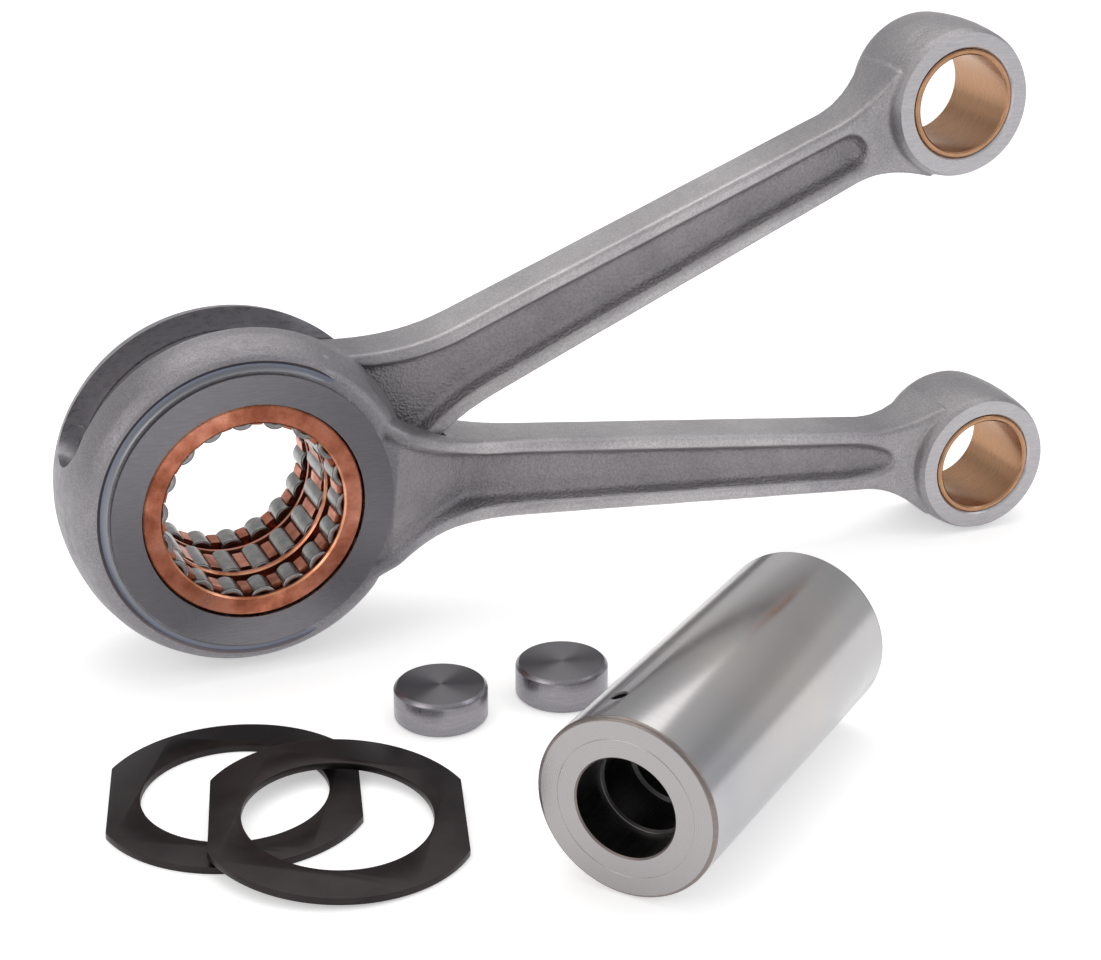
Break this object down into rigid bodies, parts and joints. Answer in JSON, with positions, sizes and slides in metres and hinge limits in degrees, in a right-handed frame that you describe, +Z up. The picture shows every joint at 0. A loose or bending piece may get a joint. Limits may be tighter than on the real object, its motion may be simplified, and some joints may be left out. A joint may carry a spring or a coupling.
{
  "type": "connecting rod",
  "caption": "Fork-and-blade connecting rod pair with caged roller big end, bushed small ends, hollow crankpin, closing plugs and thrust washers.",
  "frame": {"origin": "middle of the whole kit's footprint, on the surface it lies on", "axes": "+X along the fork rod towards its small end, +Y along the big-end axis away from the loose parts, +Z up"},
  "size_m": [0.2608, 0.1666, 0.1324],
  "materials": {
    "forged_steel": "shot-blasted forged grey, machined faces finer",
    "bearing_steel": "ground rollers",
    "ground_steel": "ground and polished",
    "copper": "copper-plated, brown patina",
    "bronze": "honed bronze",
    "black_oxide": "black oxide, satin"
  },
  "bodies": {
    "fork": {"fork_rod": "forged_steel", "fork_pin_bushing": "bronze"},
    "blade": {"blade_rod": "forged_steel", "blade_pin_bushing": "bronze"},
    "front_row": {"front_cage": "copper", "front_roller_01": "bearing_steel", "front_roller_02": "bearing_steel", "front_roller_03": "bearing_steel", "front_roller_04": "bearing_steel", "front_roller_05": "bearing_steel", "front_roller_06": "bearing_steel", "front_roller_07": "bearing_steel", "front_roller_08": "bearing_steel", "front_roller_09": "bearing_steel", "front_roller_10": "bearing_steel", "front_roller_11": "bearing_steel", "front_roller_12": "bearing_steel", "front_roller_13": "bearing_steel", "front_roller_14": "bearing_steel", "front_roller_15": "bearing_steel", "front_roller_16": "bearing_steel", "front_roller_17": "bearing_steel", "front_roller_18": "bearing_steel"},
    "middle_row": {"middle_cage": "copper", "middle_roller_01": "bearing_steel", "middle_roller_02": "bearing_steel", "middle_roller_03": "bearing_steel", "middle_roller_04": "bearing_steel", "middle_roller_05": "bearing_steel", "middle_roller_06": "bearing_steel", "middle_roller_07": "bearing_steel", "middle_roller_08": "bearing_steel", "middle_roller_09": "bearing_steel", "middle_roller_10": "bearing_steel", "middle_roller_11": "bearing_steel", "middle_roller_12": "bearing_steel", "middle_roller_13": "bearing_steel", "middle_roller_14": "bearing_steel", "middle_roller_15": "bearing_steel", "middle_roller_16": "bearing_steel", "middle_roller_17": "bearing_steel", "middle_roller_18": "bearing_steel"},
    "rear_row": {"rear_cage": "copper", "rear_rollers": "bearing_steel"},
    "crankpin_body": {"crankpin": "ground_steel"},
    "plug_1_body": {"crankpin_plug_1": "ground_steel"},
    "plug_2_body": {"crankpin_plug_2": "ground_steel"},
    "lower_washer_body": {"thrust_washer_lower": "black_oxide"},
    "upper_washer_body": {"thrust_washer_upper": "black_oxide"}
  },
  "joints": [
    {"name": "blade_swing", "type": "hinge", "parent": "fork", "child": "blade", "pos_m": [-0.08174, 0.06427, 0.04], "axis": [0, -1, 0], "range_deg": [0, 102]},
    {"name": "front_row_spin", "type": "hinge", "parent": "fork", "child": "front_row", "pos_m": [-0.08174, 0.05102, 0.04], "axis": [0, -1, 0], "continuous": true},
    {"name": "rear_row_spin", "type": "hinge", "parent": "fork", "child": "rear_row", "pos_m": [-0.08174, 0.07752, 0.04], "axis": [0, -1, 0], "continuous": true},
    {"name": "middle_row_spin", "type": "hinge", "parent": "blade", "child": "middle_row", "pos_m": [-0.08174, 0.06427, 0.04], "axis": [0, -1, 0], "continuous": true},
    {"name": "crankpin_lift", "type": "slide", "parent": "fork", "child": "crankpin_body", "axis": [0, 0, 1], "range_m": [0, 0.1]},
    {"name": "plug_1_lift", "type": "slide", "parent": "fork", "child": "plug_1_body", "axis": [0, 0, 1], "range_m": [0, 0.05]},
    {"name": "plug_2_lift", "type": "slide", "parent": "fork", "child": "plug_2_body", "axis": [0, 0, 1], "range_m": [0, 0.05]},
    {"name": "lower_washer_lift", "type": "slide", "parent": "fork", "child": "lower_washer_body", "axis": [0, 0, 1], "range_m": [0, 0.05]},
    {"name": "upper_washer_lift", "type": "slide", "parent": "lower_washer_body", "child": "upper_washer_body", "axis": [0, 0, 1], "range_m": [0, 0.05]}
  ]
}
